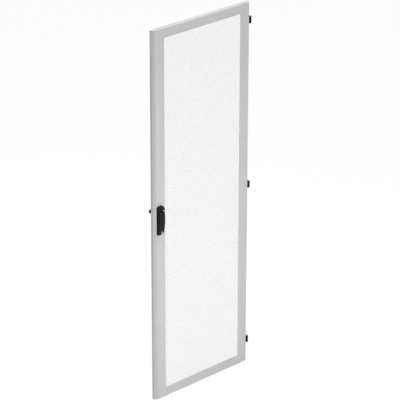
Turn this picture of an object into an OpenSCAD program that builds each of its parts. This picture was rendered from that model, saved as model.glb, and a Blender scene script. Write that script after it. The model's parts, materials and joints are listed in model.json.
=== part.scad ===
// Perforated rack door: a folded steel sheet with a large window closed by a
// sheet of hexagonal holes, three side hinges and a swing handle with a cam.
// X runs along the door towards its hinges, Y goes back into the rack, Z is up.
// The origin is the centre of the middle hinge's rack screws, at the rack's face.

/* [Door] */
// Width over the two folded sides
door_w = 600; // [400:1:1000]
// Height of the door
door_h = 1840; // [1200:1:2400]
// Depth from the front face to the back of the folded lip
door_d = 24; // [20:0.5:40]
// Thickness of the folded steel sheet
sheet_t = 1.5; // [1:0.1:2]
// Width, and depth, of the slanted fold along each side
bevel = 12; // [6:0.5:14]
// Width of the lip folded inwards at the back
lip_w = 18; // [15:0.5:20]

/* [Window] */
// Flat border at the handle side, from the fold to the window
stile_left = 52; // [48:0.5:120]
// Flat border at the hinge side, from the fold to the window
stile_right = 54; // [48:0.5:120]
// Border above the window
rail_top = 45; // [36:0.5:200]
// Border below the window
rail_bottom = 45; // [36:0.5:200]

/* [Perforated sheet] */
// Thickness of the perforated sheet
mesh_t = 1; // [0.8:0.1:2]
// How far the sheet runs behind the border
mesh_lap = 14; // [8:0.5:15]
// Distance between neighbouring holes
hole_pitch = 48; // [40:0.5:80]
// Metal left between neighbouring holes
hole_web = 5; // [3:0.1:10]

/* [Stiffening channels] */
// Width of a channel's two flanges
channel_w = 13; // [10:0.5:14]
// Thickness of the channels and of the strips
channel_t = 1.5; // [1:0.1:2]
// Room between the channel's back and the back of the lip
channel_inset = 1; // [0.5:0.1:3]
// Distance from the window to the handle-side channel
channel_left = 1; // [0.5:0.5:1.5]
// Distance from the hinge-side fold to that side's channel
channel_right = 32; // [31.5:0.5:33]
// Room left at each end of a channel, above and below it
channel_end = 24; // [20:1:100]
// Distance between the square punchings
punch_pitch = 50; // [25:1:100]
// Side of a square punching
punch_size = 7; // [4:0.5:8]

/* [Hinges] */
// Height of a hinge
hinge_h = 34; // [28:1:60]
// Height of the lower hinge's centre above the door's bottom
hinge_low = 108; // [60:1:400]
// Distance of the upper hinge's centre from the door's top
hinge_high = 92; // [60:1:400]
// Radius of a hinge knuckle
knuckle_r = 7; // [6:0.1:9]
// Gap between the knuckles and the side of the door
knuckle_gap = 1; // [0.5:0.1:3]
// Distance of the pin's axis behind the front face
pin_back = 14; // [12:0.5:20]
// Radius of a hinge pin
pin_r = 3; // [2:0.1:4]
// Height of the leaf's own knuckle
leaf_knuckle_h = 16; // [10:0.5:20]
// Thickness of the leaf screwed to the door
leaf_t = 3; // [2.5:0.1:4]
// Thickness of the bracket screwed to the rack
bracket_t = 4; // [3.5:0.1:6]
// Air between the leaf and the bracket
leaf_gap = 1.5; // [1.2:0.1:4]
// Width of the leaf and of the bracket behind the door
hinge_plate_w = 34; // [30:0.5:50]
// Distance between a bracket's two rack screws
rack_screw_pitch = 18; // [16:0.5:22]
// Radius of the holes for the rack screws
rack_screw_r = 3.3; // [2.5:0.1:3.5]
// Distance of the rack screws from the side of the door
rack_screw_in = 17; // [12:0.5:22]
// Radius of the leaf screws
leaf_screw_r = 2.5; // [2:0.1:3]
// Distance of the leaf screws from the side of the door
leaf_screw_in = 9; // [7.5:0.5:11]
// Distance between the two leaf screws
leaf_screw_pitch = 20; // [16:0.5:22]

/* [Handle] */
// Distance of the handle's centre line from the side fold
handle_in = 18.5; // [18:0.5:30]
// Height of the handle's centre above the door's bottom
handle_z = 921; // [300:0.5:1750]
// Width of the handle's base
base_w = 35; // [32:0.5:36]
// Height of the handle's base
base_h = 145; // [142:0.5:200]
// Thickness of the base plate
base_t = 3.5; // [3:0.1:5]
// Distance from the top of the base to the spindle's axis
spindle_drop = 35.5; // [35:0.5:45]
// Radius of the spindle
spindle_r = 6; // [5:0.1:7]
// Width of the lever
lever_w = 31; // [28:0.5:32]
// Distance from the base's lower end to the lever's free end
lever_end_up = 28.5; // [28:0.5:40]
// Farthest that the lever stands out of the door
lever_out = 22.5; // [20:0.5:24]
// Radius of the lever's bowed front
bow_r = 300; // [250:1:400]
// Distance from the base's upper end down to the lever's highest point
bow_drop = 61.5; // [50:0.5:70]
// Radius of the head's rounded front
head_r = 30; // [26:0.5:40]
// Radius of the lever's pin
lever_pin_r = 2; // [1.5:0.1:2.2]
// Height of the lever's pin above the spindle's axis
lever_pin_up = 3.5; // [2:0.5:4]
// Angle that the lever's free end lifts by
lever_lift = 28; // [20:1:28]
// Width of the spindle's tongue in the lever
tongue_w = 12; // [8:0.5:14]
// Distance from the base's upper end to its upper screw
upper_screw_down = 13; // [12:0.5:18]
// Distance from the base's lower end to its lower screw
lower_screw_up = 52; // [40:0.5:60]

/* [Lock] */
// Height of the lock's centre above the base's lower end
lock_up = 17.5; // [16:0.5:18]
// Radius of the lock's barrel
barrel_r = 7.5; // [6:0.1:8]
// Radius of the plug that the key turns
plug_r = 4.5; // [3.5:0.1:5]
// Distance that the lock's face stands out of the door
lock_out = 16.5; // [15:0.1:18]

/* [Cam] */
// Distance from the front face to the cam's front
cam_y = 38.5; // [37:0.5:60]
// Thickness of the cam
cam_t = 5; // [3:0.5:8]
// Width of the cam
cam_w = 20; // [16:0.5:26]
// Distance from the spindle's axis to the cam's tip
cam_reach = 26.5; // [20:0.5:60]

/* [Earth stud] */
// Radius of the earth stud
stud_r = 3; // [2.5:0.1:4]
// Length of the earth stud
stud_len = 16; // [10:0.5:18]
// Height of the earth stud above the door's bottom
stud_z = 190; // [150:1:600]
// Distance of the earth stud from the hinge-side fold
stud_in = 12; // [11:0.5:12]

/* [Hidden] */
$fn = 96;

// Clearances: a running fit, a seated piece and two bodies that pass each other
run_gap = 0.05;
seat_gap = 0.02;
pass_gap = 0.3;
// Room round a piece that goes through a cut-out
cut_gap = 0.2;
// Overrun of a cutting shape past the face that it cuts
over = 1;

// Colours of the paint, the bare metal and the black hardware
grey_paint = [0.80, 0.81, 0.80];
zinc = [0.72, 0.73, 0.75];
black_metal = [0.10, 0.10, 0.11];
black_plastic = [0.15, 0.15, 0.16];

// The window in the folded sheet
win_x0 = bevel + stile_left;
win_x1 = door_w - bevel - stile_right;
win_z0 = rail_bottom;
win_z1 = door_h - rail_top;
// The layers behind the front sheet
mesh_y = sheet_t;
channel_y = sheet_t + mesh_t;
channel_back = door_d - channel_inset;
strip_gap = 0.3;
stud_x = door_w - bevel - stud_in;

// The hinges
hinge_x = door_w + knuckle_gap + knuckle_r;
hinge_top_z = door_h - hinge_high;
hinge_mid_z = (hinge_low + hinge_top_z) / 2;
hinge_zs = [hinge_top_z, hinge_mid_z, hinge_low];
plate_y = door_d + leaf_t + leaf_gap;
rack_y = plate_y + bracket_t;
arm_x0 = hinge_x - knuckle_r + 2;
rack_screw_x = door_w - rack_screw_in;
leaf_screw_x = door_w - leaf_screw_in;

// The handle: its centre line, the spindle and the ends of the base
handle_x = bevel + handle_in;
base_top = handle_z + base_h / 2;
base_low = handle_z - base_h / 2;
spindle_z = base_top - spindle_drop;
pin_z = spindle_z + lever_pin_up;
bow_z = base_top - bow_drop;
bow_sag = bow_r - sqrt(bow_r * bow_r - (pin_z - bow_z) * (pin_z - bow_z));
lever_reach = spindle_z - base_low - lever_end_up;
disc_t = 1;
disc_r = lever_w / 2 - 0.5;
lever_back = base_t + disc_t + pass_gap;
fork_r = 4;
pin_y = -(lever_back + fork_r);
// The lever's upper end is round about its pin, and its outline has round corners
nose_r = lever_out - bow_sag + pin_y;
lever_corner = 9;
lever_top = pin_z + nose_r;
corner_up = lever_top - lever_corner - spindle_z;
corner_side = lever_w / 2 - lever_corner;
lift_room = 2.8;
head_sweep = norm([corner_side, corner_up]) + lever_corner + lift_room;
head_low = spindle_z + lever_w / 2 + 2 * pass_gap;
head_z = base_top - 0.85 * head_r;
base_corner = 9;
lock_z = base_low + lock_up;
housing_low = lock_z - barrel_r - 1.5;
// The part of the base that goes through the sheet, and its screws
tray_w = 25;
tray_y = 8;
tray_end = 8;
tray_top = base_top - tray_end;
tray_low = base_low + tray_end - 4;
handle_screw_r = 2.5;
handle_screw_zs = [base_top - upper_screw_down, base_low + lower_screw_up];
clamp_t = 3;
clamp_w = 30;
clamp_back = tray_y + clamp_t;
clamp_boss_r = spindle_r + 3.5;
clamp_boss_y = cam_y - 4.5;
barrel_back = clamp_back + 4;
square_w = 8;
washer_t = 1.6;
bolt_r = 3;
bolt_head_r = 5.5;
bolt_head_t = 4;

// Moves the door's own frame, at its lower left front corner, to the origin
module place() {
  translate([-rack_screw_x, -rack_y, -hinge_mid_z]) children();
}

// A solid of revolution axis along Y, from y0 to y1
module rod_y(x, z, r, y0, y1, fn = $fn) {
  translate([x, y0, z]) rotate([-90, 0, 0]) cylinder(r = r, h = y1 - y0, $fn = fn);
}

// A solid drawn in the X-Z plane and extruded from y0 back to y1
module slab_y(y0, y1) {
  translate([0, y1, 0]) rotate([90, 0, 0]) linear_extrude(height = y1 - y0) children();
}

// A block between two corners
module block(p, q) {
  translate(p) cube(q - p);
}

// A rectangle with round corners, about its centre
module round_rect(w, h, r) {
  square([w - 2 * r, h], center = true);
  square([w, h - 2 * r], center = true);
  for (sx = [-1, 1])
    for (sz = [-1, 1])
      translate([sx * (w / 2 - r), sz * (h / 2 - r)]) circle(r = r);
}

// The door's outline seen from above, shrunk inwards by t
module door_outline(t) {
  k = t * tan(22.5);
  polygon([
    [bevel + k, t], [door_w - bevel - k, t],
    [door_w - t, bevel + k], [door_w - t, door_d - t],
    [t, door_d - t], [t, bevel + k]
  ]);
}

// The folded sheet: a shallow tray with slanted sides, a lip and a window
module door_frame() {
  color(grey_paint) place() difference() {
    linear_extrude(height = door_h) door_outline(0);
    translate([0, 0, sheet_t]) linear_extrude(height = door_h - 2 * sheet_t) door_outline(sheet_t);
    block([lip_w, door_d - sheet_t - over, lip_w], [door_w - lip_w, door_d + over, door_h - lip_w]);
    block([win_x0, -over, win_z0], [win_x1, sheet_t + over, win_z1]);
    handle_cutout();
    for (z = hinge_zs)
      for (s = [-1, 1])
        rod_y(leaf_screw_x, z + s * leaf_screw_pitch / 2, leaf_screw_r + cut_gap,
              door_d - sheet_t - over, door_d + over);
  }
}

// The slot for the handle's tray in the front sheet
module handle_cutout() {
  block([handle_x - tray_w / 2 - cut_gap, -over, tray_low - cut_gap],
        [handle_x + tray_w / 2 + cut_gap, sheet_t + over, tray_top + cut_gap]);
}

// The hexagonal holes, in staggered rows centred on the window
module hex_holes() {
  row_pitch = hole_pitch * sin(60);
  hole_r = (hole_pitch - hole_web) / sqrt(3);
  rows = 1 + floor((win_z1 - win_z0 - 2 * hole_r) / row_pitch);
  cols = floor((win_x1 - win_x0) / hole_pitch - 0.5);
  start_x = (win_x0 + win_x1 - (cols - 1) * hole_pitch) / 2;
  start_z = (win_z0 + win_z1 - (rows - 1) * row_pitch) / 2;
  for (row = [0 : rows - 1])
    for (col = [0 : cols - 1])
      translate([start_x + (col + (row % 2) / 2 - 0.25) * hole_pitch, start_z + row * row_pitch])
        rotate(30) circle(r = hole_r, $fn = 6);
}

// The perforated sheet behind the window
module perforated_sheet() {
  color(grey_paint) place() slab_y(mesh_y, mesh_y + mesh_t) difference() {
    translate([win_x0 - mesh_lap, win_z0 - mesh_lap])
      square([win_x1 - win_x0 + 2 * mesh_lap, win_z1 - win_z0 + 2 * mesh_lap]);
    hex_holes();
  }
}

// A channel from depth y0 back, with its web towards the window at x;
// side is 1 at the handle's side of the door and -1 at the hinges' side
module channel(x, y0, side) {
  z0 = channel_end;
  z1 = door_h - channel_end;
  count = floor((z1 - z0) / punch_pitch);
  first = (z0 + z1) / 2 - (count - 1) * punch_pitch / 2;
  color(grey_paint) place() difference() {
    translate([x, 0, 0]) mirror([side > 0 ? 1 : 0, 0, 0])
      block([0, y0, z0], [channel_w, channel_back, z1]);
    translate([x, 0, 0]) mirror([side > 0 ? 1 : 0, 0, 0])
      block([channel_t, y0 + channel_t, z0 - over],
            [channel_w + over, channel_back - channel_t, z1 + over]);
    translate([x - side * (channel_w + channel_t) / 2, 0, 0])
      for (i = [0 : count - 1])
        translate([0, channel_back, first + i * punch_pitch])
          cube([punch_size, 3 * channel_t, punch_size], center = true);
  }
}

// The handle-side channel stands on the perforated sheet
module left_channel() {
  channel(win_x0 - channel_left, channel_y, 1);
}

// The hinge-side channel stands on the front sheet, beside the perforated sheet
module right_channel() {
  channel(door_w - bevel - channel_right, sheet_t, -1);
}

// A flat strip that holds the perforated sheet to the rail
module strip(z0, z1) {
  color(grey_paint) place()
    block([win_x0 - channel_left + strip_gap, channel_y, z0],
          [win_x1 + mesh_lap, channel_y + channel_t, z1]);
}

module upper_strip() {
  strip(win_z1 + strip_gap, win_z1 + mesh_lap - strip_gap);
}

module lower_strip() {
  strip(win_z0 - mesh_lap + strip_gap, win_z0 - strip_gap);
}

// The half of a hinge that is screwed to the rack, with two knuckles
module hinge_bracket(z) {
  knuckle_z = leaf_knuckle_h / 2 + 0.1;
  color(black_metal) place() translate([0, 0, z]) difference() {
    union() {
      block([door_w - hinge_plate_w, plate_y, -hinge_h / 2], [hinge_x + knuckle_r, rack_y, hinge_h / 2]);
      for (s = [0, 1]) mirror([0, 0, s]) {
        translate([hinge_x, pin_back, knuckle_z]) cylinder(r = knuckle_r, h = hinge_h / 2 - knuckle_z);
        block([arm_x0, pin_back, knuckle_z], [hinge_x + knuckle_r, plate_y + over, hinge_h / 2]);
      }
    }
    translate([hinge_x, pin_back, -hinge_h]) cylinder(r = pin_r + seat_gap, h = 2 * hinge_h);
    for (s = [-1, 1]) {
      rod_y(rack_screw_x, s * rack_screw_pitch / 2, rack_screw_r, plate_y - over, rack_y + over);
      translate([rack_screw_x, plate_y - 0.01, s * rack_screw_pitch / 2]) rotate([-90, 0, 0])
        cylinder(r1 = 2 * rack_screw_r, r2 = rack_screw_r, h = bracket_t / 2);
    }
  }
}

module top_hinge_bracket() {
  hinge_bracket(hinge_zs[0]);
}

module middle_hinge_bracket() {
  hinge_bracket(hinge_zs[1]);
}

module bottom_hinge_bracket() {
  hinge_bracket(hinge_zs[2]);
}

// A hinge pin with a low head on the upper knuckle
module hinge_pin(z) {
  color(zinc) place() translate([hinge_x, pin_back, z]) {
    translate([0, 0, -hinge_h / 2]) cylinder(r = pin_r, h = hinge_h + 0.5);
    translate([0, 0, hinge_h / 2]) cylinder(r = pin_r + 1.5, h = 1.5);
  }
}

module top_hinge_pin() {
  hinge_pin(hinge_zs[0]);
}

module middle_hinge_pin() {
  hinge_pin(hinge_zs[1]);
}

module bottom_hinge_pin() {
  hinge_pin(hinge_zs[2]);
}

// The half of a hinge that is screwed to the back of the door's lip
module hinge_leaf(z) {
  kz = leaf_knuckle_h / 2;
  color(black_metal) place() translate([0, 0, z]) difference() {
    union() {
      translate([hinge_x, pin_back, -kz]) cylinder(r = knuckle_r, h = 2 * kz);
      block([arm_x0, pin_back, -kz], [hinge_x + knuckle_r - 2, door_d + leaf_t, kz]);
      block([door_w - 0.5, door_d, -kz], [hinge_x, door_d + leaf_t, kz]);
      block([door_w - hinge_plate_w, door_d, -hinge_h / 2], [door_w - 0.5, door_d + leaf_t, hinge_h / 2]);
    }
    translate([hinge_x, pin_back, -hinge_h]) cylinder(r = pin_r + run_gap, h = 2 * hinge_h);
    for (s = [-1, 1])
      translate([leaf_screw_x, 0, s * leaf_screw_pitch / 2]) {
        rod_y(0, 0, leaf_screw_r + 0.1, door_d - over, door_d + leaf_t + over);
        translate([0, door_d + leaf_t + 0.01, 0]) rotate([90, 0, 0])
          cylinder(r1 = 2 * leaf_screw_r + 0.1, r2 = leaf_screw_r + 0.1, h = leaf_screw_r);
      }
  }
}

module top_hinge_leaf() {
  hinge_leaf(hinge_zs[0]);
}

module middle_hinge_leaf() {
  hinge_leaf(hinge_zs[1]);
}

module bottom_hinge_leaf() {
  hinge_leaf(hinge_zs[2]);
}

// Countersunk screws through the leaves and the lip
module hinge_leaf_screws() {
  color(zinc) place()
    for (z = hinge_zs)
      for (s = [-1, 1])
        translate([leaf_screw_x, 0, z + s * leaf_screw_pitch / 2]) difference() {
          union() {
            rod_y(0, 0, leaf_screw_r, door_d - 8, door_d + leaf_t - 0.2);
            translate([0, door_d + leaf_t - 0.2, 0]) rotate([90, 0, 0])
              cylinder(r1 = 2 * leaf_screw_r - 0.3, r2 = leaf_screw_r, h = leaf_screw_r - 0.3);
          }
          rod_y(0, 0, leaf_screw_r * 0.7, door_d + leaf_t - 1.6, door_d + leaf_t + over, 6);
        }
}

// Hexagon nuts inside the door, on the leaf screws
module hinge_leaf_nuts() {
  nut_t = 4;
  color(zinc) place()
    for (z = hinge_zs)
      for (s = [-1, 1])
        translate([leaf_screw_x, 0, z + s * leaf_screw_pitch / 2]) difference() {
          rod_y(0, 0, leaf_screw_r * 1.85, door_d - sheet_t - nut_t, door_d - sheet_t, 6);
          rod_y(0, 0, leaf_screw_r + seat_gap, door_d - sheet_t - nut_t - over, door_d);
        }
}

// The welded earth stud on the front sheet's back, beside the hinge-side channel
module earth_stud() {
  color(zinc) place() {
    rod_y(stud_x, stud_z, stud_r, sheet_t, sheet_t + stud_len);
    rod_y(stud_x, stud_z, stud_r + 1.5, sheet_t, sheet_t + 1);
  }
}

// The bowed front of the handle, as everything behind one large cylinder
module bow(w) {
  translate([handle_x - w / 2, bow_r - lever_out, bow_z])
    rotate([0, 90, 0]) cylinder(r = bow_r, h = w, $fn = 360);
}

// The handle's base: a plate, a round head above, a lock housing below, a tray behind
module handle_base() {
  color(black_plastic) place() difference() {
    union() {
      slab_y(-base_t, 0) base_outline();
      head();
      lock_housing();
      block([handle_x - tray_w / 2, -over, tray_low], [handle_x + tray_w / 2, tray_y, tray_top]);
    }
    rod_y(handle_x, spindle_z, spindle_r + run_gap, -base_t - over, tray_y + over);
    rod_y(handle_x, lock_z, barrel_r + seat_gap, -lever_out - over, tray_y + over);
    for (z = handle_screw_zs)
      rod_y(handle_x, z, handle_screw_r + seat_gap, 0.5, tray_y + over);
  }
}

// Outline of the base: straight sides with rounded ends
module base_outline() {
  translate([handle_x, handle_z]) round_rect(base_w, base_h, base_corner);
}

// The head above the lever, clear of the lever as it turns and lifts
module head() {
  intersection() {
    slab_y(-lever_out, -base_t + over) difference() {
      base_outline();
      translate([handle_x, spindle_z]) circle(r = head_sweep);
      translate([handle_x - base_w, base_low - over]) square([2 * base_w, head_low - base_low + over]);
    }
    bow(2 * base_w);
    translate([handle_x - base_w, head_r - lever_out + bow_sag, head_z])
      rotate([0, 90, 0]) cylinder(r = head_r, h = 2 * base_w);
  }
}

// The housing below the lever, which carries the lock
module lock_housing() {
  intersection() {
    slab_y(-lever_out, -base_t + over) difference() {
      translate([handle_x, (housing_low + spindle_z) / 2])
        round_rect(lever_w, spindle_z - housing_low, lever_corner);
      translate([handle_x, spindle_z]) circle(r = lever_reach + 2 * pass_gap, $fn = 180);
    }
    bow(2 * base_w);
  }
}

// The clamp behind the sheet: a channel over the tray, with a sleeve for the spindle
module handle_clamp() {
  color(zinc) place() difference() {
    union() {
      block([handle_x - clamp_w / 2, sheet_t, tray_low], [handle_x + clamp_w / 2, clamp_back, tray_top]);
      rod_y(handle_x, spindle_z, clamp_boss_r, clamp_back - over, clamp_boss_y);
    }
    block([handle_x - tray_w / 2 - cut_gap, sheet_t - over, tray_low - over],
          [handle_x + tray_w / 2 + cut_gap, tray_y, tray_top + over]);
    rod_y(handle_x, spindle_z, spindle_r + run_gap, 0, clamp_boss_y + over);
    rod_y(handle_x, lock_z, barrel_r + 0.4, 0, clamp_back + over);
    for (z = handle_screw_zs)
      rod_y(handle_x, z, handle_screw_r + 0.3, 0, clamp_back + over);
  }
}

// Two pan-head screws from the clamp into the base
module handle_screws() {
  color(zinc) place()
    for (z = handle_screw_zs) difference() {
      union() {
        rod_y(handle_x, z, handle_screw_r, 1, clamp_back);
        rod_y(handle_x, z, 2 * handle_screw_r - 0.3, clamp_back, clamp_back + 3);
      }
      rod_y(handle_x, z, handle_screw_r * 0.65, clamp_back + 1, clamp_back + 3 + over, 6);
    }
}

// The lock's barrel, fixed in the housing
module lock_barrel() {
  color(black_metal) place() difference() {
    rod_y(handle_x, lock_z, barrel_r, -lock_out, barrel_back);
    rod_y(handle_x, lock_z, plug_r + run_gap, -lock_out - over, barrel_back + over);
  }
}

// The plug with its key slot
module lock_plug() {
  plug_out = lock_out + 0.5;
  slot_w = 1.6;
  color(zinc) place() difference() {
    rod_y(handle_x, lock_z, plug_r, -plug_out, barrel_back + 3);
    translate([handle_x - slot_w / 2, -plug_out - over, lock_z - 0.7 * plug_r])
      cube([slot_w, 12, 1.4 * plug_r]);
  }
}

// The short tongue on the plug's tail, behind the barrel
module lock_tail() {
  color(zinc) place() difference() {
    slab_y(barrel_back + pass_gap, barrel_back + pass_gap + 2) {
      translate([handle_x, lock_z]) circle(r = plug_r + 2.5);
      translate([handle_x - 4, lock_z]) square([8, plug_r + 8]);
    }
    rod_y(handle_x, lock_z, plug_r + seat_gap, barrel_back - over, barrel_back + 5);
  }
}

// The spindle: a shaft through the door, a disc on the base and a tongue for the pin
module spindle() {
  shaft_end = cam_y - pass_gap;
  color(zinc) place() difference() {
    union() {
      rod_y(handle_x, spindle_z, spindle_r, -base_t - 0.1, shaft_end);
      rod_y(handle_x, spindle_z, disc_r, -base_t - disc_t, -base_t - 0.1);
      block([handle_x - square_w / 2, shaft_end - over, spindle_z - square_w / 2],
            [handle_x + square_w / 2, cam_y + cam_t - 0.2, spindle_z + square_w / 2]);
      block([handle_x - tongue_w / 2, pin_y, pin_z - fork_r + 0.3],
            [handle_x + tongue_w / 2, -base_t - disc_t + 0.5, pin_z + fork_r - 0.3]);
      translate([handle_x - tongue_w / 2, pin_y, pin_z]) rotate([0, 90, 0])
        cylinder(r = fork_r - 0.3, h = tongue_w);
    }
    translate([handle_x - tongue_w, pin_y, pin_z]) rotate([0, 90, 0])
      cylinder(r = lever_pin_r + run_gap, h = 2 * tongue_w);
    rod_y(handle_x, spindle_z, bolt_r + seat_gap, cam_y - 10, cam_y + cam_t + over);
  }
}

// Outline of the lever seen from the front, with a rounded free end
module lever_outline() {
  intersection() {
    translate([handle_x, lever_top - lever_reach]) round_rect(lever_w, 2 * lever_reach, lever_corner);
    translate([handle_x, spindle_z]) circle(r = lever_reach, $fn = 180);
  }
}

// The lever: bowed in front, flat behind, with a slot for the tongue
module lever() {
  color(black_plastic) place() difference() {
    intersection() {
      slab_y(-lever_out - over, -lever_back) lever_outline();
      bow(2 * base_w);
    }
    block([handle_x - tongue_w / 2 - cut_gap, pin_y - fork_r, pin_z - fork_r],
          [handle_x + tongue_w / 2 + cut_gap, -lever_back + over, lever_top + over]);
    lever_nose();
    translate([handle_x - lever_w, pin_y, pin_z]) rotate([0, 90, 0])
      cylinder(r = lever_pin_r + seat_gap, h = 2 * lever_w);
  }
}

// What is cut from the lever's upper end: it is round about the pin in front, and
// slopes behind so that it stays clear of the disc when the lever lifts
module lever_nose() {
  far = 3 * nose_r;
  translate([handle_x - lever_w, pin_y, pin_z]) rotate([90, 0, 90])
    linear_extrude(height = 2 * lever_w) difference() {
      translate([-far, 0]) square([2 * far, far]);
      circle(r = fork_r);
      intersection() {
        circle(r = nose_r);
        rotate(lever_lift) translate([-far, -far]) square([far + fork_r, 2 * far]);
      }
    }
}

// The lever's pin, a little shorter than the lever is wide
module lever_pin() {
  pin_len = lever_w - 3;
  color(zinc) place() translate([handle_x - pin_len / 2, pin_y, pin_z]) rotate([0, 90, 0])
    cylinder(r = lever_pin_r, h = pin_len);
}

// The cam on the spindle's square end
module cam() {
  tip = cam_reach - cam_w / 2;
  color(black_metal) place() difference() {
    slab_y(cam_y, cam_y + cam_t) {
      translate([handle_x, spindle_z]) circle(r = cam_w / 2);
      translate([handle_x - tip, spindle_z]) circle(r = cam_w / 2);
      translate([handle_x - tip, spindle_z - cam_w / 2]) square([tip, cam_w]);
    }
    block([handle_x - square_w / 2 - run_gap, cam_y - over, spindle_z - square_w / 2 - run_gap],
          [handle_x + square_w / 2 + run_gap, cam_y + cam_t + over, spindle_z + square_w / 2 + run_gap]);
  }
}

// The washer under the cam's bolt
module cam_washer() {
  color(zinc) place() difference() {
    rod_y(handle_x, spindle_z, 8, cam_y + cam_t, cam_y + cam_t + washer_t);
    rod_y(handle_x, spindle_z, bolt_r + cut_gap, cam_y, cam_y + cam_t + washer_t + over);
  }
}

// The hexagon bolt in the spindle's end
module cam_bolt() {
  head_y = cam_y + cam_t + washer_t;
  color(zinc) place() {
    rod_y(handle_x, spindle_z, bolt_r, cam_y - 8, head_y);
    rod_y(handle_x, spindle_z, bolt_head_r, head_y, head_y + bolt_head_t, 6);
  }
}

top_hinge_bracket();
middle_hinge_bracket();
bottom_hinge_bracket();
top_hinge_pin();
middle_hinge_pin();
bottom_hinge_pin();
top_hinge_leaf();
middle_hinge_leaf();
bottom_hinge_leaf();
hinge_leaf_screws();
hinge_leaf_nuts();
door_frame();
perforated_sheet();
left_channel();
right_channel();
upper_strip();
lower_strip();
earth_stud();
handle_base();
handle_clamp();
handle_screws();
lock_barrel();
lock_plug();
lock_tail();
spindle();
lever();
lever_pin();
cam();
cam_washer();
cam_bolt();
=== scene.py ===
import json
import math

import bmesh
import bpy
import numpy as np
from mathutils import Matrix, Vector


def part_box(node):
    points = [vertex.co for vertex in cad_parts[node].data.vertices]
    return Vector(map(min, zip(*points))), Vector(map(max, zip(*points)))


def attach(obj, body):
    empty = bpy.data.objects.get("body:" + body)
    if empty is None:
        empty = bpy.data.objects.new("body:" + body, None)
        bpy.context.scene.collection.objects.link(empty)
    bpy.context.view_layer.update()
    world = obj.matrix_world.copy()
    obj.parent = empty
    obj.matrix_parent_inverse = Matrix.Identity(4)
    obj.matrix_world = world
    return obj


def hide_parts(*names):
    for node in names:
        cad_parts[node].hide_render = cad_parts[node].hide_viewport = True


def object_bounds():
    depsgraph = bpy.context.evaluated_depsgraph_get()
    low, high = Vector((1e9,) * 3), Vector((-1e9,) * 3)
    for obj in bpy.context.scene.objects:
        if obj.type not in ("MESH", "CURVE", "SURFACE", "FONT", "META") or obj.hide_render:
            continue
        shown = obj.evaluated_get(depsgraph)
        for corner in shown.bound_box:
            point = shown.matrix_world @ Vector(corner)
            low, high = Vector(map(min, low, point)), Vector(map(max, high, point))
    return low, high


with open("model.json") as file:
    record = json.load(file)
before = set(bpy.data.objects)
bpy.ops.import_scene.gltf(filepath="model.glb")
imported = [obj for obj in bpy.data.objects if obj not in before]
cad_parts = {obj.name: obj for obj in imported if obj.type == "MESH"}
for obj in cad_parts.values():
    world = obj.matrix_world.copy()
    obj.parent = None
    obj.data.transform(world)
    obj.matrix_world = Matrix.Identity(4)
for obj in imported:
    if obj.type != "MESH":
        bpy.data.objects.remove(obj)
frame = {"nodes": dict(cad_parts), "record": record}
cadLow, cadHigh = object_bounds()

# The door rides on the rack's hinge halves. X runs along it, Y goes into the rack, Z is up.
doorLow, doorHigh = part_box("door_frame")
print("frame loaded: door", [round(v, 3) for v in doorHigh - doorLow])


# Where the camera stands and what it looks at
camera = {
    "azimuth": -43.10,      # degrees from straight in front, seen from the door's left
    "elevation": 23.94,     # degrees above the horizon
    "roll": -0.078,
    "distance": 10.4814,    # metres to the point looked at
    "lens": 204.04,         # mm on a 36 mm sensor
    "across": 0.2835,       # the point looked at, from the door's left edge
    "up": 0.9469,           # and from its lower edge
}


def placeCamera(c):
    azimuth, elevation, roll = (math.radians(c[k]) for k in ("azimuth", "elevation", "roll"))
    target = Vector((doorLow.x + c["across"], doorLow.y, doorLow.z + c["up"]))
    back = Vector((math.sin(azimuth) * math.cos(elevation),
                   -math.cos(azimuth) * math.cos(elevation), math.sin(elevation)))
    right = Vector((math.cos(azimuth), math.sin(azimuth), 0))
    up = back.cross(right)
    data = bpy.data.cameras.new("camera")
    data.lens = c["lens"]
    data.clip_end = 100
    obj = bpy.data.objects.new("camera", data)
    bpy.context.scene.collection.objects.link(obj)
    turn = Matrix((right, up, back)).transposed().to_4x4()
    place = Matrix.Translation(target + back * c["distance"])
    obj.matrix_world = place @ turn @ Matrix.Rotation(-roll, 4, "Z")
    bpy.context.scene.camera = obj


placeCamera(camera)
bpy.context.scene.view_settings.view_transform = "Standard"
print("camera placed")


def toLinear(hexColour):
    # the sRGB curve, undone for each channel
    values = [int(hexColour[i:i + 2], 16) / 255 for i in (1, 3, 5)]
    return [v / 12.92 if v <= 0.04045 else ((v + 0.055) / 1.055) ** 2.4 for v in values] + [1.0]


def addNode(tree, kind, settings=None, links=None):
    # settings are input values or properties of the node, links go from an output to a named input
    node = tree.nodes.new(kind)
    for key, value in (settings or {}).items():
        if key in node.inputs:
            node.inputs[key].default_value = value
        else:
            setattr(node, key, value)
    for key, output in (links or {}).items():
        tree.links.new(output, node.inputs[key])
    return node


def startMaterial(name):
    material = bpy.data.materials.new(name)
    material.use_nodes = True
    tree = material.node_tree
    tree.nodes.clear()
    place = addNode(tree, "ShaderNodeTexCoord").outputs["Object"]
    return material, tree, place


def finishMaterial(tree, shader):
    addNode(tree, "ShaderNodeOutputMaterial", links={"Surface": shader.outputs["BSDF"]})


def mixColours(tree, first, second, amount):
    # a mix node takes its colours at inputs 6 and 7 and gives the mixed one at output 2
    mix = addNode(tree, "ShaderNodeMix", {"data_type": "RGBA"})
    mix.inputs[6].default_value = toLinear(first)
    mix.inputs[7].default_value = toLinear(second)
    tree.links.new(amount, mix.inputs[0])
    return mix.outputs[2]


powderCoat = {
    "colour": "#C6C7C6",        # light grey
    "shade": "#BFC0BF",         # the same paint where it lies a little thicker
    "patchMm": 90,              # size of the slow changes of shade
    "grainMm": 1.6,             # orange peel of baked powder, drawn coarser than the real 0.5 mm
    "bumpMm": 0.05,
    "bumpStrength": 0.35,
    "roughness": (0.40, 0.52),
}


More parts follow.
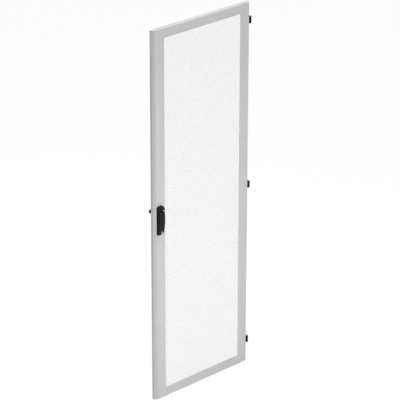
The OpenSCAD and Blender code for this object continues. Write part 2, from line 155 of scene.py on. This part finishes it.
def makePowderCoat(c):
    # polyester powder baked on sheet steel: a satin skin with a fine orange peel
    material, tree, place = startMaterial("powderCoatedSteel")
    patches = addNode(tree, "ShaderNodeTexNoise", {"Scale": 1000 / c["patchMm"], "Detail": 3.0},
                      {"Vector": place})
    peel = addNode(tree, "ShaderNodeTexNoise", {"Scale": 1000 / c["grainMm"], "Detail": 2.0},
                   {"Vector": place})
    colour = mixColours(tree, c["shade"], c["colour"], patches.outputs["Fac"])
    rough = addNode(tree, "ShaderNodeMapRange", {"To Min": c["roughness"][0], "To Max": c["roughness"][1]},
                    {"Value": patches.outputs["Fac"]})
    bump = addNode(tree, "ShaderNodeBump", {"Strength": c["bumpStrength"], "Distance": c["bumpMm"] / 1000},
                   {"Height": peel.outputs["Fac"]})
    shader = addNode(tree, "ShaderNodeBsdfPrincipled", {"IOR": 1.5},
                     {"Base Color": colour, "Roughness": rough.outputs["Result"],
                      "Normal": bump.outputs["Normal"]})
    finishMaterial(tree, shader)
    return material


blackParts = {
    "sheen": 0.13,              # a rough black skin mirrors less than a smooth one
    "rubMm": 14,                # size of the places where hands have rubbed it
    "bumpStrength": 0.4,
    "roughSpread": (-0.06, 0.08),
    "casting": {"name": "blackLacqueredZinc", "colour": "#070708", "grainMm": 0.9, "roughness": 0.42,
                "bumpMm": 0.03},
    "nylon": {"name": "mouldedBlackNylon", "colour": "#141415", "grainMm": 0.7, "roughness": 0.5,
              "bumpMm": 0.04},
}


def makeBlackCoat(c, kind):
    # a fine regular grain, from the sand-blasted mould or the thick black lacquer over a casting
    material, tree, place = startMaterial(kind["name"])
    grain = addNode(tree, "ShaderNodeTexVoronoi", {"Scale": 1000 / kind["grainMm"]}, {"Vector": place})
    rub = addNode(tree, "ShaderNodeTexNoise", {"Scale": 1000 / c["rubMm"], "Detail": 4.0}, {"Vector": place})
    low, high = (kind["roughness"] + step for step in c["roughSpread"])
    rough = addNode(tree, "ShaderNodeMapRange", {"To Min": low, "To Max": high},
                    {"Value": rub.outputs["Fac"]})
    bump = addNode(tree, "ShaderNodeBump", {"Strength": c["bumpStrength"], "Distance": kind["bumpMm"] / 1000},
                   {"Height": grain.outputs["Distance"]})
    skin = {"Base Color": toLinear(kind["colour"]), "IOR": 1.5, "Specular IOR Level": c["sheen"]}
    shader = addNode(tree, "ShaderNodeBsdfPrincipled", skin,
                     {"Roughness": rough.outputs["Result"], "Normal": bump.outputs["Normal"]})
    finishMaterial(tree, shader)
    return material


bareMetals = {
    "bumpStrength": 0.2,
    "bumpMm": 0.03,
    "roughSpread": (-0.05, 0.1),
    "zincPlate": {"name": "zincPlatedSteel", "colour": "#C9CCD2", "shade": "#AEB2BA", "spotMm": 3,
                  "roughness": 0.3},
    "casting": {"name": "dieCastZinc", "colour": "#A4A6AA", "shade": "#8C8F94", "spotMm": 6,
                "roughness": 0.48},
    "nickel": {"name": "satinNickel", "colour": "#D6D2CA", "shade": "#BDB8AE", "spotMm": 4,
               "roughness": 0.3, "turningScale": 265.4},
}


def makeMetal(c, kind):
    # spots of slightly different brightness, as zinc plating and bare castings have, or turning marks
    material, tree, place = startMaterial(kind["name"])
    spots = addNode(tree, "ShaderNodeTexNoise", {"Scale": 1000 / kind["spotMm"], "Detail": 5.0},
                    {"Vector": place})
    colour = mixColours(tree, kind["shade"], kind["colour"], spots.outputs["Fac"])
    low, high = (kind["roughness"] + step for step in c["roughSpread"])
    rough = addNode(tree, "ShaderNodeMapRange", {"To Min": low, "To Max": high},
                    {"Value": spots.outputs["Fac"]})
    height = spots.outputs["Fac"]
    if "turningScale" in kind:
        rings = {"Scale": kind["turningScale"], "Distortion": 1.0, "Detail": 2.0}
        height = addNode(tree, "ShaderNodeTexWave", rings, {"Vector": place}).outputs["Fac"]
    bump = addNode(tree, "ShaderNodeBump", {"Strength": c["bumpStrength"], "Distance": c["bumpMm"] / 1000},
                   {"Height": height})
    shader = addNode(tree, "ShaderNodeBsdfPrincipled", {"Metallic": 1.0},
                     {"Base Color": colour, "Roughness": rough.outputs["Result"],
                      "Normal": bump.outputs["Normal"]})
    finishMaterial(tree, shader)
    return material


finishes = {
    "grey_paint": makePowderCoat(powderCoat),
    "black_zinc": makeBlackCoat(blackParts, blackParts["casting"]),
    "black_plastic": makeBlackCoat(blackParts, blackParts["nylon"]),
    "zinc_plated_steel": makeMetal(bareMetals, bareMetals["zincPlate"]),
    "die_cast_zinc": makeMetal(bareMetals, bareMetals["casting"]),
    "nickel": makeMetal(bareMetals, bareMetals["nickel"]),
}
slotOf = {row["node"]: row["material_slot"] for row in frame["record"]["subparts"]}
bodyOf = {node: body for body, nodes in frame["record"]["behaviour"]["bodies"].items() for node in nodes}
for nodeName, node in frame["nodes"].items():
    node.data.materials.clear()
    node.data.materials.append(finishes[slotOf[nodeName]])
print("materials:", len(finishes))


def addPiece(name, points, faceSizes, faceCorners, node):
    # a mesh from whole arrays: points, the number of corners of each face, and the corners in order
    mesh = bpy.data.meshes.new(name)
    mesh.vertices.add(len(points))
    mesh.vertices.foreach_set("co", np.asarray(points, np.float32).ravel())
    mesh.loops.add(len(faceCorners))
    mesh.loops.foreach_set("vertex_index", np.asarray(faceCorners, np.int32))
    mesh.polygons.add(len(faceSizes))
    starts = np.concatenate([[0], np.cumsum(faceSizes)[:-1]])
    mesh.polygons.foreach_set("loop_start", starts.astype(np.int32))
    mesh.update(calc_edges=True)
    mesh.validate()
    obj = bpy.data.objects.new(name, mesh)
    bpy.context.scene.collection.objects.link(obj)
    mesh.materials.append(finishes[slotOf[node]])
    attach(obj, bodyOf[node])
    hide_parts(node)
    return obj


rounding = {
    "weldDistance": 1e-6,       # metres between points that are one corner
    "flatAngle": 0.5,           # degrees between faces that are one flat face
    "edgeAngle": 32,            # degrees from which an edge is rounded
    "sharpAngle": 38,           # degrees from which shading breaks
    "segments": 2,
}


def roundEdges(c, nodeName, pieceName, width):
    # a copy of the node with its sharp edges rounded, as a bend, a mould or a tumbler leaves them
    source = frame["nodes"][nodeName]
    mesh = source.data.copy()
    work = bmesh.new()
    work.from_mesh(mesh)
    bmesh.ops.remove_doubles(work, verts=work.verts, dist=c["weldDistance"])
    flat = math.radians(c["flatAngle"])
    bmesh.ops.dissolve_limit(work, angle_limit=flat, verts=work.verts, edges=work.edges)
    work.to_mesh(mesh)
    work.free()
    obj = bpy.data.objects.new(pieceName, mesh)
    bpy.context.scene.collection.objects.link(obj)
    bevel = obj.modifiers.new("roundedEdges", "BEVEL")
    bevel.width = width
    bevel.segments = c["segments"]
    bevel.limit_method = "ANGLE"
    bevel.angle_limit = math.radians(c["edgeAngle"])
    bevel.use_clamp_overlap = True
    graph = bpy.context.evaluated_depsgraph_get()
    obj.data = bpy.data.meshes.new_from_object(obj.evaluated_get(graph))
    obj.modifiers.clear()
    obj.data.polygons.foreach_set("use_smooth", np.ones(len(obj.data.polygons), bool))
    obj.data.set_sharp_from_angle(angle=math.radians(c["sharpAngle"]))
    obj.data.materials.clear()
    obj.data.materials.append(finishes[slotOf[nodeName]])
    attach(obj, bodyOf[nodeName])
    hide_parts(nodeName)
    return obj


# The fine holes of the perforated sheet, in metres
perforation = {
    "pitch": 0.0100,        # distance between neighbouring holes
    "web": 0.0005,          # metal left between two holes
    "lap": 0.0140,          # how far the sheet runs behind the border
    "overrun": 0.0090,      # how far the holes go on behind the border
    "plain": 0.0060,        # where the plain margin starts, behind the border
    "skin": 0.00005,        # how far the margin's faces lie inside the sheet's, under the holes' rims
    "bands": 3,             # the sheet is cut into bands, to keep each mesh light
}


def hexGrid(c, low, high):
    # centres in rows: even rows start at the edge, odd rows half a pitch later
    rowPitch = c["pitch"] * math.sqrt(0.75)
    rows = int((high.z - low.z) / rowPitch)
    cols = int((high.x - low.x) / c["pitch"])
    row, col = np.mgrid[0:rows, 0:cols]
    startX = (low.x + high.x - (cols - 0.5) * c["pitch"]) / 2
    startZ = (low.z + high.z - (rows - 1) * rowPitch) / 2
    return startX + (col + (row % 2) / 2) * c["pitch"], startZ + row * rowPitch


def webFaces(c, x, z, firstRow, lastRow):
    # each hole owns the webs to its right, upper right and upper left neighbours,
    # and the two three-cornered junctions between them
    rows, cols = x.shape
    row, col = np.mgrid[firstRow:lastRow, 0:cols]
    odd = row % 2
    right = (row, col + 1)
    upRight = (row + 1, col + odd)
    upLeft = (row + 1, col + odd - 1)

    def there(cell):
        return (cell[0] < rows) & (cell[1] < cols) & (cell[1] >= 0)

    def corner(cell, k):
        return (cell[0] * cols + cell[1]) * 6 + k

    own = (row, col)
    quads = [
        (there(right), [corner(own, 5), corner(right, 3), corner(right, 2), corner(own, 0)]),
        (there(upRight), [corner(own, 0), corner(upRight, 4), corner(upRight, 3), corner(own, 1)]),
        (there(upLeft), [corner(own, 1), corner(upLeft, 5), corner(upLeft, 4), corner(own, 2)]),
    ]
    triangles = [
        (there(right) & there(upRight), [corner(own, 0), corner(right, 2), corner(upRight, 4)]),
        (there(upRight) & there(upLeft), [corner(own, 1), corner(upRight, 3), corner(upLeft, 5)]),
    ]
    quads = np.concatenate([np.stack(f, -1)[keep] for keep, f in quads])
    triangles = np.concatenate([np.stack(f, -1)[keep] for keep, f in triangles])
    return quads, triangles


def perforatedBand(c, index, low, high):
    # a flat pattern of webs, given its thickness: front faces, back faces, and a wall on each open edge
    x, z = hexGrid(c, low, high)
    rows = x.shape[0]
    firstRow, lastRow = rows * index // c["bands"], rows * (index + 1) // c["bands"]
    angle = np.radians(30 + 60 * np.arange(6))
    radius = (c["pitch"] - c["web"]) / math.sqrt(3)
    cornerX = (x[..., None] + radius * np.cos(angle)).ravel()
    cornerZ = (z[..., None] + radius * np.sin(angle)).ravel()
    quads, triangles = webFaces(c, x, z, firstRow, lastRow)
    used, flat = np.unique(np.concatenate([quads.ravel(), triangles.ravel()]), return_inverse=True)
    quads = flat[:quads.size].reshape(-1, 4)
    triangles = flat[quads.size:].reshape(-1, 3)
    count = len(used)
    edges = np.concatenate([np.stack([f, np.roll(f, -1, 1)], -1).reshape(-1, 2) for f in (quads, triangles)])
    key = np.sort(edges, 1) @ np.array([count, 1])
    _, first, times = np.unique(key, return_index=True, return_counts=True)
    rim = edges[first[times == 1]]
    walls = np.stack([rim[:, 1], rim[:, 0], rim[:, 0] + count, rim[:, 1] + count], -1)
    front = np.stack([cornerX[used], np.full(count, low.y), cornerZ[used]], -1)
    points = np.concatenate([front, front + [0, high.y - low.y, 0]])
    fours = np.concatenate([quads, quads[:, ::-1] + count, walls])
    threes = np.concatenate([triangles, triangles[:, ::-1] + count])
    sizes = [4] * len(fours) + [3] * len(threes)
    return addPiece(f"perforatedBand{index + 1}", points, sizes,
                    np.concatenate([fours.ravel(), threes.ravel()]), "perforated_sheet")


def plainMargin(c, low, high):
    # two rectangles, one in the other, at the sheet's two faces: a ring with four walls inside and outside
    inset = c["lap"] - c["plain"]
    outer = np.array([[low.x, low.z], [high.x, low.z], [high.x, high.z], [low.x, high.z]])
    inner = outer + inset * np.array([[1, 1], [-1, 1], [-1, -1], [1, -1]])
    flat = np.concatenate([outer, inner])
    front, back = low.y + c["skin"], high.y - c["skin"]
    points = np.concatenate([np.insert(flat, 1, front, 1), np.insert(flat, 1, back, 1)])
    k = np.arange(4)
    n = (k + 1) % 4
    faces = np.concatenate([
        np.stack([k, n, n + 4, k + 4], -1),
        np.stack([k + 8, k + 12, n + 12, n + 8], -1),
        np.stack([k, k + 8, n + 8, n], -1),
        np.stack([k + 4, n + 4, n + 12, k + 12], -1),
    ])
    return addPiece("perforatedMargin", points, [4] * len(faces), faces.ravel(), "perforated_sheet")


def makePerforatedSheet(c):
    low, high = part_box("perforated_sheet")
    step = Vector((c["lap"] - c["overrun"], 0, c["lap"] - c["overrun"]))
    for index in range(c["bands"]):
        perforatedBand(c, index, low + step, high - step)
    plainMargin(c, low, high)


makePerforatedSheet(perforation)
print("perforated sheet made")


# The rounded copy of each rigid part, and how far its edges are rounded, in metres
edgeWidths = {
    "door_frame": ("foldedDoorSheet", 0.0008),
    "left_channel": ("leftChannel", 0.0006),
    "right_channel": ("rightChannel", 0.0006),
    "upper_strip": ("upperStrip", 0.0003),
    "lower_strip": ("lowerStrip", 0.0003),
    "handle_base": ("handleBase", 0.0012),
    "lever": ("handleLever", 0.0018),
    "handle_clamp": ("handleClamp", 0.0008),
    "cam": ("latchCam", 0.0008),
    "top_hinge_bracket": ("topHingeBracket", 0.0008),
    "middle_hinge_bracket": ("middleHingeBracket", 0.0008),
    "bottom_hinge_bracket": ("bottomHingeBracket", 0.0008),
    "top_hinge_leaf": ("topHingeLeaf", 0.0007),
    "middle_hinge_leaf": ("middleHingeLeaf", 0.0007),
    "bottom_hinge_leaf": ("bottomHingeLeaf", 0.0007),
    "top_hinge_pin": ("topHingePin", 0.0005),
    "middle_hinge_pin": ("middleHingePin", 0.0005),
    "bottom_hinge_pin": ("bottomHingePin", 0.0005),
    "lock_barrel": ("lockBarrel", 0.0003),
    "lock_plug": ("lockPlug", 0.0003),
    "lock_tail": ("lockTail", 0.0003),
    "spindle": ("handleSpindle", 0.0005),
    "cam_bolt": ("camBolt", 0.0004),
}
for nodeName, (pieceName, width) in edgeWidths.items():
    roundEdges(rounding, nodeName, pieceName, width)
print("rounded parts:", len(edgeWidths))


studio = {
    "floorDrop": 0.004,         # the floor lies this far below the door
    "floorSize": 40,
    "floorColour": "#FAFAFA",
    "shadowShow": 0.07,         # how much of the shadow the pale floor shows to the camera
    "glow": 1.03,               # brightness of the floor as the camera sees it
    "worldLevel": 0.24,         # brightness of the even light from all round
    "lamps": {                  # place and aim from the door's centre, size, in metres; power in watts
        "frontSoftbox": ((-0.4, -2.0, 0.0), (0, 0, 0), (1.0, 0.7), 24),
        "topSoftbox": ((0.2, -0.3, 3.4), (0, 0, 0.3), (2.6, 1.6), 80),
        "backSoftbox": ((-1.0, 2.6, 0.6), (0, 0, 0), (1.4, 1.0), 34),
    },
}


def raysThatSee(tree):
    # 1 for a ray from the camera, off a glossy face or through glass, and 0 for light that falls on things
    path = addNode(tree, "ShaderNodeLightPath")
    seen = path.outputs["Is Camera Ray"]
    for kind in ("Is Glossy Ray", "Is Transmission Ray"):
        larger = addNode(tree, "ShaderNodeMath", {"operation": "MAXIMUM"})
        tree.links.new(seen, larger.inputs[0])
        tree.links.new(path.outputs[kind], larger.inputs[1])
        seen = larger.outputs[0]
    return seen


def makeFloor(c):
    # a plain pale floor that the camera sees as white, with a little of the door's own shadow
    material, tree, _ = startMaterial("paleFloor")
    seen = raysThatSee(tree)
    amount = addNode(tree, "ShaderNodeMath", {"operation": "MULTIPLY"})
    tree.links.new(seen, amount.inputs[0])
    amount.inputs[1].default_value = 1 - c["shadowShow"]
    paint = addNode(tree, "ShaderNodeBsdfDiffuse", {"Color": toLinear(c["floorColour"])})
    glow = addNode(tree, "ShaderNodeEmission", {"Color": (1, 1, 1, 1), "Strength": c["glow"]})
    mix = addNode(tree, "ShaderNodeMixShader", links={"Fac": amount.outputs[0]})
    tree.links.new(paint.outputs[0], mix.inputs[1])
    tree.links.new(glow.outputs[0], mix.inputs[2])
    addNode(tree, "ShaderNodeOutputMaterial", links={"Surface": mix.outputs[0]})
    half = c["floorSize"] / 2
    z = cadLow.z - c["floorDrop"]
    mesh = bpy.data.meshes.new("floor")
    corners = [(-half, -half, z), (half, -half, z), (half, half, z), (-half, half, z)]
    mesh.from_pydata(corners, [], [(0, 1, 2, 3)])
    mesh.materials.append(material)
    obj = bpy.data.objects.new("floor", mesh)
    bpy.context.scene.collection.objects.link(obj)


def makeWorld(c):
    # an even soft light, which the camera and mirror-like surfaces see as white
    world = bpy.data.worlds.new("studio")
    world.use_nodes = True
    tree = world.node_tree
    tree.nodes.clear()
    seen = raysThatSee(tree)
    level = addNode(tree, "ShaderNodeMapRange", {"To Min": c["worldLevel"], "To Max": 1.0},
                    {"Value": seen})
    light = addNode(tree, "ShaderNodeBackground", {"Color": (1, 1, 1, 1)},
                    {"Strength": level.outputs["Result"]})
    addNode(tree, "ShaderNodeOutputWorld", links={"Surface": light.outputs[0]})
    bpy.context.scene.world = world


def makeLamps(c):
    centre = (doorLow + doorHigh) / 2
    for name, (place, aim, size, power) in c["lamps"].items():
        data = bpy.data.lights.new(name, "AREA")
        data.shape = "RECTANGLE"
        data.size, data.size_y = size
        data.energy = power
        obj = bpy.data.objects.new(name, data)
        bpy.context.scene.collection.objects.link(obj)
        start, end = centre + Vector(place), centre + Vector(aim)
        obj.visible_camera = False
        obj.location = start
        obj.rotation_euler = (end - start).to_track_quat("-Z", "Y").to_euler()


makeFloor(studio)
makeWorld(studio)
makeLamps(studio)
print("studio made")
